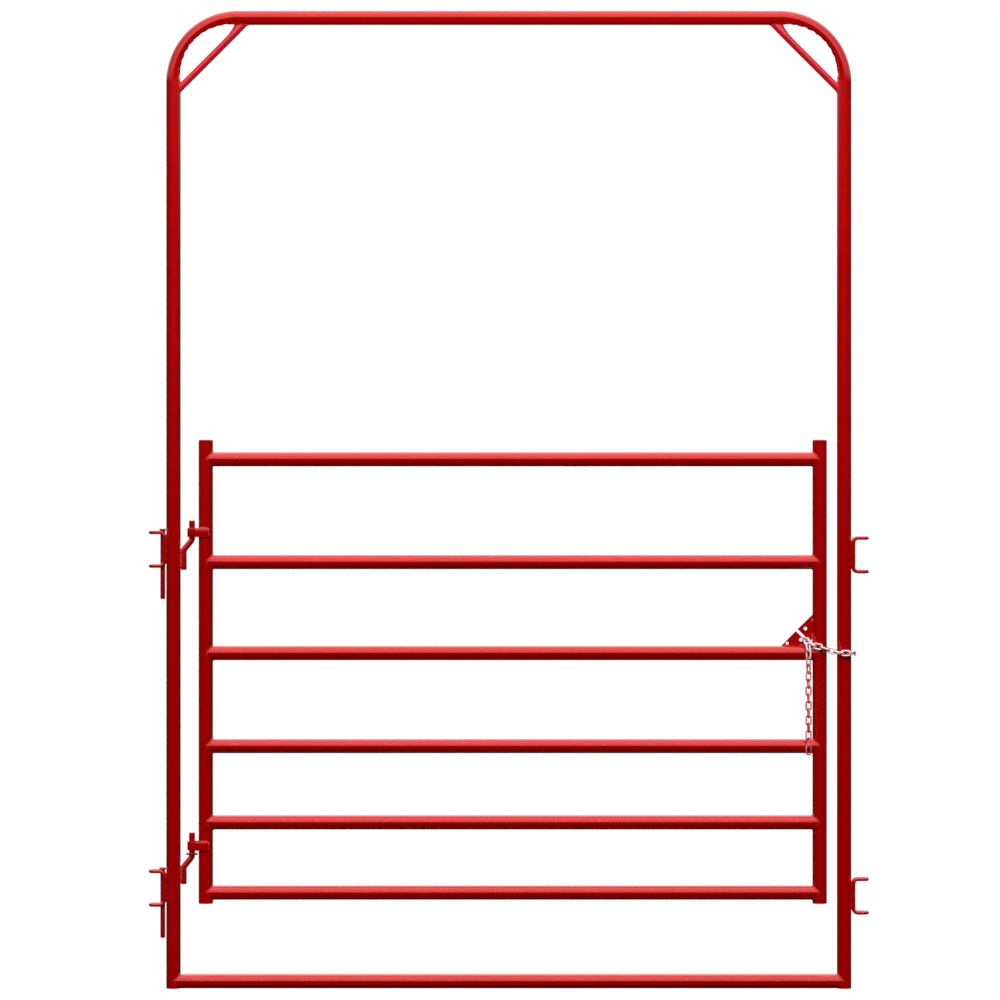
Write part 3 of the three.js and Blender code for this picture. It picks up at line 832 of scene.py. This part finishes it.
def bracket_piece(node, side):
    """One closed ring of rod: two flat loops that reach out sideways, joined by two uprights."""
    low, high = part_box(node)
    top = high.z - ROD_RADIUS
    bottom = top - BRACKET_ARM_SPACING
    from_axis = TUBE_RADIUS + BRACKET_STAND_OFF + ROD_RADIUS
    upright = math.sqrt(from_axis**2 - BRACKET_HALF_WIDTH**2)
    tip = (high.x if side > 0 else -low.x) - POST_X - ROD_RADIUS
    y = BRACKET_HALF_WIDTH
    outline = [
        (tip, 0, bottom),
        (tip, y, bottom),
        (upright, y, bottom),
        (upright, y, top),
        (tip, y, top),
        (tip, -y, top),
        (upright, -y, top),
        (upright, -y, bottom),
        (tip, -y, bottom),
        (tip, 0, bottom),
    ]
    corners = [(side * (POST_X + x), across, height) for x, across, height in outline]
    stations = bent_path(corners, BRACKET_BEND * NEARLY, 12)[:-1]
    shape = Shape()
    section = circle(ROD_RADIUS, 28)
    shape.add_rings(swept(stations, repeat(section), Z_AXIS, closed=True), closed=True)
    weld_x = side * (POST_X + upright - BRACKET_WELD_INSET)
    for y_sign in (-1, 1):
        foot = Vector((weld_x, y_sign * y / 2, bottom + BRACKET_BEND))
        head = foot + Z_AXIS * (BRACKET_ARM_SPACING - 2 * BRACKET_BEND)
        # These beads are darkened to the steel colour: painted shade in the crevice between rod and
        # post.
        shape.add_bead(line_points(foot, head), BRACKET_BEAD, seed=foot.z * 9 + y_sign, wear_and_shade=CREVICE_SHADE_RUB)
    return shape.make(node, enamel)


def drop_pin_piece(node):
    """A round pin with a rounded foot and a flat head, its paint rubbed in places."""
    low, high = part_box(node)
    x = (low.x + high.x) / 2
    head_radius = (high.x - low.x) / 2
    head_low = high.z - DROP_PIN_HEAD
    foot = [
        (DROP_PIN_RADIUS - 2.2 * MM, low.z),
        (DROP_PIN_RADIUS - 0.9 * MM, low.z + 0.4 * MM),
        (DROP_PIN_RADIUS - 0.2 * MM, low.z + 1.4 * MM),
        (DROP_PIN_RADIUS, low.z + 2.6 * MM),
    ]
    shank = [
        (DROP_PIN_RADIUS, low.z + 60 * MM),
        (DROP_PIN_RADIUS, low.z + 120 * MM),
        (DROP_PIN_RADIUS, head_low - 0.6 * MM),
    ]
    head = [
        (DROP_PIN_RADIUS + 0.6 * MM, head_low),
        (head_radius - 0.5 * MM, head_low),
        (head_radius, head_low + 0.5 * MM),
        (head_radius, high.z - 1.8 * MM),
        (head_radius - 0.5 * MM, high.z - 0.7 * MM),
        (head_radius - 1.8 * MM, high.z),
    ]
    rings = []
    for radius, z in foot + shank + head:
        rings.append([Vector((x + u, v, z)) for u, v in circle(radius, 40)])
    shape = Shape()
    shape.add_rings(rings, wear_and_shade=DROP_PIN_RUB)
    return shape.make(node, enamel)


# ---------- latch plate ----------


def arc(centre, radius, start, end, count):
    """Points round part of a circle, from one angle in degrees to another."""
    points = []
    for step in range(count + 1):
        angle = math.radians(start + (end - start) * step / count)
        points.append((centre[0] + radius * math.cos(angle), centre[1] + radius * math.sin(angle)))
    return points


def plate_outlines():
    """The plate's slotted edge and its three holes, in x and z from its corner."""
    half, leg = SLOT_WIDTH / 2 / math.sqrt(2), PLATE_LEG / 2
    root = PLATE_ROOT
    outline = [(root, -root), (root, PLATE_LEG), (half - leg, leg + half)]
    outline += arc((-SLOT_END, SLOT_END), SLOT_WIDTH / 2, 45, -135, 20)
    outline += [(-leg - half, leg - half), (-PLATE_LEG, -root)]
    holes = [arc((-left, up), radius, 0, -360, 32)[:-1] for left, up, radius in PLATE_HOLES]
    return [outline, *holes]


def plate_mesh():
    """The plate cut from a flat drawing with softened edges, and stood upright at its corner."""
    curve = bpy.data.curves.new("plate_outline", "CURVE")
    curve.dimensions = "2D"
    curve.fill_mode = "BOTH"
    curve.extrude = PLATE_THICKNESS / 2 - PLATE_BEVEL
    curve.bevel_depth = PLATE_BEVEL
    curve.bevel_resolution = 2
    curve.offset = -PLATE_BEVEL
    for points in plate_outlines():
        spline = curve.splines.new("POLY")
        spline.points.add(len(points) - 1)
        for target, (x, y) in zip(spline.points, points):
            target.co = (x, y, 0, 1)
        spline.use_cyclic_u = True
    drawn = bpy.data.objects.new("plate_outline", curve)
    bpy.context.scene.collection.objects.link(drawn)
    graph = bpy.context.evaluated_depsgraph_get()
    mesh = bpy.data.meshes.new_from_object(drawn.evaluated_get(graph))
    bpy.data.objects.remove(drawn)
    upright = Matrix.Rotation(math.pi / 2, 4, "X")
    mesh.transform(Matrix.Translation((CORNER_X, 0, CORNER_Z)) @ upright)
    return mesh


def plate_piece():
    """A triangular plate with a slot and three holes, welded between the latch post and a rail."""
    mesh = plate_mesh()
    shape = Shape()
    shape.points = [v.co.copy() for v in mesh.vertices]
    shape.faces = [tuple(p.vertices) for p in mesh.polygons]
    shape.weld = [0.0] * len(shape.points)
    shape.wear_and_shade = [rub_near_slot(p) for p in shape.points]
    add_plate_beads(shape)
    return shape.make("latch_plate", enamel)


def add_plate_beads(shape):
    """Short welds on both faces of the plate, up the post and along the rail."""
    face = PLATE_THICKNESS / 2
    for y_sign in (-1, 1):
        x, y = CORNER_X - 0.6 * MM, y_sign * (face + 1.2 * MM)
        for foot, head in PLATE_POST_WELDS:
            points = line_points((x, y, CORNER_Z + foot), (x, y, CORNER_Z + head))
            shape.add_bead(points, PLATE_POST_BEAD, seed=foot * 70)
        y, z = y_sign * (face + 1 * MM), CORNER_Z + 0.4 * MM
        for near, far in PLATE_RAIL_WELDS:
            points = line_points((CORNER_X - near, y, z), (CORNER_X - far, y, z))
            shape.add_bead(points, PLATE_RAIL_BEAD, seed=near * 70)


def rub_near_slot(point):
    """How much the chain has worn the paint: most on the slot's own walls."""
    across = abs((point.x - CORNER_X) + (point.z - CORNER_Z)) / math.sqrt(2)
    nearness = max(0.0, 1 - across / (SLOT_WIDTH / 2 + 1.5 * MM))
    return 0.7 * math.sqrt(nearness)


# ---------- chain ----------


def wire_directions(node):
    """A wire piece's points, their mean, and its directions from the thinnest to the longest."""
    points = np.array([v.co for v in frame["nodes"][node].data.vertices], float)
    middle = points.mean(0)
    spread = np.linalg.eigh(np.cov((points - middle).T))[1]
    return points, middle, [Vector(spread[:, k]).normalized() for k in range(3)]


def link_frame(node):
    """A link's centre, and its directions along it and across it."""
    points, middle, (_, across, along) = wire_directions(node)
    centre = Vector(middle)
    for direction in (along, across):
        offsets = (points - middle) @ np.array(direction)
        centre += direction * float((offsets.max() + offsets.min()) / 2)
    return centre, along, across


def crook(local_x, local_y, tail_share, seed):
    """Where red painted shade lies on a link: inside its round ends, and all over it in the tail."""
    inside_end = max(0.0, (abs(local_x) - CROOK_FROM) / CROOK_FROM)
    inward = 0.7 if abs(local_y) < LINK_BEND else 0.2
    flank = tail_share * (0.85 + 0.15 * math.sin(seed * 2.3 + local_y * 400))
    return min(1.0, inside_end * inward + flank)


def inside_the_frame(point):
    """The point, no further out than the frame's faceted wire: a round one is 0.2 mm proud of it."""
    point.y = min(max(point.y, cad_low.y), cad_high.y)
    return point


def link_piece(node, zinc, number, tail_share):
    """A link of round wire laid where its node lies, with its red painted shade."""
    centre, along, across = link_frame(node)
    half = LINK_HALF_LENGTH
    outline = [(0, 1), (half, 1), (half, -1), (-half, -1), (-half, 1), (0, 1)]
    corners = [(x, y * LINK_BEND, 0) for x, y in outline]
    stations = bent_path(corners, LINK_BEND * NEARLY, 18)[:-1]
    shape = Shape()
    section = circle(WIRE_RADIUS, WIRE_SIDES)
    shape.add_rings(swept(stations, repeat(section), Z_AXIS, closed=True), closed=True)
    crooks = [crook(p.x, p.y, tail_share, number) for p in shape.points]
    placed = Matrix((along, across, along.cross(across))).transposed().to_4x4()
    placed.translation = centre
    shape.points = [inside_the_frame(placed @ p) for p in shape.points]
    piece = shape.make(node, zinc, sharp_above=180)
    set_values(piece.data, "crook", crooks)
    return piece


def anchor_piece(zinc):
    """Half a link welded to the front of the plate, for the loop's first link to hang in."""
    square = wire_directions("chain_anchor")[2][0]
    across = square.cross(-Y_AXIS).normalized()
    low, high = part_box("chain_anchor")
    middle = Vector(((low.x + high.x) / 2, 0, (low.z + high.z) / 2))
    to_crown = Y_AXIS * (low.y + WIRE_RADIUS)
    to_foot = Y_AXIS * high.y
    corners = [
        middle + across * LINK_BEND + to_foot,
        middle + across * LINK_BEND + to_crown,
        middle - across * LINK_BEND + to_crown,
        middle - across * LINK_BEND + to_foot,
    ]
    stations = bent_path(corners, LINK_BEND * NEARLY, 18)
    shape = Shape()
    section = circle(WIRE_RADIUS, WIRE_SIDES)
    shape.add_rings(swept(stations, repeat(section), square))
    for foot in (corners[0], corners[-1]):
        ring = [foot + across * u + square * v for u, v in circle(WIRE_RADIUS + 0.8 * MM, 24)]
        shape.add_bead(resampled(ring, BEAD_STEP), ANCHOR_BEAD, closed=True, seed=foot.x * 50)
    piece = shape.make("chain_anchor", zinc, sharp_above=180)
    # The anchor takes the same red, nearly full on its welds to the plate and faint on its wire.
    set_values(piece.data, "crook", [0.9 if weld else 0.15 for weld in shape.weld])
    return piece


# ---------- stage ----------


def camera():
    """A long lens on the gate's front, level with its middle."""
    data = bpy.data.cameras.new("camera")
    data.sensor_width = SENSOR_WIDTH
    data.lens = SENSOR_WIDTH * CAMERA_DISTANCE / VIEW_WIDTH
    data.clip_end = 100
    seen_from = bpy.data.objects.new("camera", data)
    seen_from.location = CAMERA_AIM - Y_AXIS * CAMERA_DISTANCE
    seen_from.rotation_euler = (math.pi / 2, 0, 0)
    bpy.context.scene.collection.objects.link(seen_from)
    bpy.context.scene.camera = seen_from


def studio_level(tree):
    """How bright the studio is in each direction: by its height, to the sides and behind."""
    direction = tree.nodes.new("ShaderNodeTexCoord").outputs["Generated"]
    parts = tree.nodes.new("ShaderNodeSeparateXYZ")
    tree.links.new(direction, parts.inputs[0])
    height = remap(tree, parts.outputs["Z"], -1, 1, 0, 1)
    brightest = max(level for _, level in STUDIO_LEVELS)
    ramp = tree.nodes.new("ShaderNodeValToRGB")
    tree.links.new(height, ramp.inputs[0])
    stops = ramp.color_ramp.elements
    while len(stops) < len(STUDIO_LEVELS):
        stops.new(0.5)
    for stop, (z, level) in zip(stops, STUDIO_LEVELS):
        stop.position = (z + 1) / 2
        stop.color = (*[level / brightest] * 3, 1)
    base = arithmetic(tree, "MULTIPLY", ramp.outputs["Color"], brightest)
    sideways = arithmetic(tree, "ABSOLUTE", parts.outputs["X"], 0.0)
    at_sides = remap(tree, sideways, 0.2, 0.85, 1, SIDE_SHARE)
    behind = remap(tree, parts.outputs["Y"], 0.0, 0.5, 1, REAR_SHARE)
    return arithmetic(tree, "MULTIPLY", arithmetic(tree, "MULTIPLY", base, at_sides), behind)


def studio_light():
    """A bright ceiling over a dim horizon and a dark floor. The camera itself sees plain white."""
    world = bpy.data.worlds.new("studio")
    bpy.context.scene.world = world
    world.use_nodes = True
    tree = world.node_tree
    tree.nodes.clear()
    lighting = tree.nodes.new("ShaderNodeBackground")
    tree.links.new(studio_level(tree), lighting.inputs["Strength"])
    seen = tree.nodes.new("ShaderNodeBackground")
    seen.inputs["Strength"].default_value = 1.0
    for background in (lighting, seen):
        background.inputs["Color"].default_value = (1, 1, 1, 1)
    chosen = tree.nodes.new("ShaderNodeMixShader")
    is_camera = tree.nodes.new("ShaderNodeLightPath").outputs["Is Camera Ray"]
    tree.links.new(is_camera, chosen.inputs[0])
    tree.links.new(lighting.outputs[0], chosen.inputs[1])
    tree.links.new(seen.outputs[0], chosen.inputs[2])
    output = tree.nodes.new("ShaderNodeOutputWorld")
    tree.links.new(chosen.outputs[0], output.inputs["Surface"])
    bpy.context.scene.view_settings.view_transform = "Standard"


def matt_light(name, kind, strength, place, tilt):
    """A light that shades the paint but isn't mirrored in it."""
    data = bpy.data.lights.new(name, kind)
    data.energy = strength
    light = bpy.data.objects.new(name, data)
    light.location = place
    light.rotation_euler = (tilt, 0, 0)
    light.visible_glossy = False
    light.visible_camera = False
    bpy.context.scene.collection.objects.link(light)
    return data


def lamps():
    """A soft light from above the camera, and two wide ones: under the arch, and before it."""
    tilt = math.pi / 2 - FRONT_LIGHT_HEIGHT
    front = matt_light("front_light", "SUN", FRONT_LIGHT_STRENGTH, (0, -4, 4), tilt)
    front.angle = math.radians(20)
    under_arch = matt_light("arch_light", "AREA", ARCH_LIGHT_POWER, ARCH_LIGHT_AT, math.pi)
    under_arch.shape = "RECTANGLE"
    under_arch.size, under_arch.size_y = ARCH_LIGHT_SIZE
    head = matt_light("head_light", "AREA", HEAD_LIGHT_POWER, HEAD_LIGHT_AT, math.pi / 2)
    head.shape = "RECTANGLE"
    head.size, head.size_y = HEAD_LIGHT_SIZE


def floor():
    """A plain white floor that neither darkens nor tints the gate."""
    half = FLOOR_HALF_WIDTH
    corners = [(-half, -half, 0), (half, -half, 0), (half, half, 0), (-half, half, 0)]
    mesh = bpy.data.meshes.new("floor")
    mesh.from_pydata(corners, [], [(0, 1, 2, 3)])
    ground = bpy.data.objects.new("floor", mesh)
    bpy.context.scene.collection.objects.link(ground)
    material, _, shader, _ = new_material("floor")
    shader.inputs["Base Color"].default_value = (0, 0, 0, 1)
    shader.inputs["Specular IOR Level"].default_value = 0.0
    shader.inputs["Emission Color"].default_value = (1, 1, 1, 1)
    shader.inputs["Emission Strength"].default_value = 1.0
    mesh.materials.append(material)
    ground.visible_diffuse = False
    ground.visible_glossy = False


# ---------- the gate ----------


def build_frame():
    """The arch, the ground rail, and everything welded or hung on the two frame posts."""
    bow_piece()
    rail_piece("bottom_rail", -POST_X, POST_X)
    brace_piece("corner_brace_left", -1)
    brace_piece("corner_brace_right", 1)
    for level in BOLT_BENDS:
        hinge_bolt_piece("hinge_pin_" + level, level)
        strap_piece("hinge_strap_" + level)
        bracket_piece("bracket_left_" + level, -1)
        bracket_piece("bracket_right_" + level, 1)
        drop_pin_piece("drop_pin_" + level)
    washer_piece()


def build_leaf():
    """The swinging leaf's posts, caps, rails and latch plate."""
    post_piece("hinge_post", HINGE_POST_X)
    post_piece("latch_post", LATCH_POST_X)
    cap_piece("post_cap_hinge", HINGE_POST_X)
    cap_piece("post_cap_latch", LATCH_POST_X)
    for number in range(1, 7):
        rail_piece(f"gate_rail_{number}", HINGE_POST_X, LATCH_POST_X)
    plate_piece()


def build_chain():
    """The anchor on the plate, the link in its slot, the loop round the frame post and the tail."""
    zinc = zinc_material()
    anchor_piece(zinc)
    link_piece("chain_slot_link", zinc, 0, 0.0)
    for number in range(1, LINK_COUNT + 1):
        # From this link on, the tail is red all over, as painted shade.
        tail_share = 1.0 if number >= RED_SHADE_FROM else 0.0
        link_piece(f"chain_loop_link_{number:02d}", zinc, number, 0.0)
        link_piece(f"chain_tail_link_{number:02d}", zinc, number, tail_share)


camera()
studio_light()
lamps()
floor()
build_frame()
build_leaf()
build_chain()
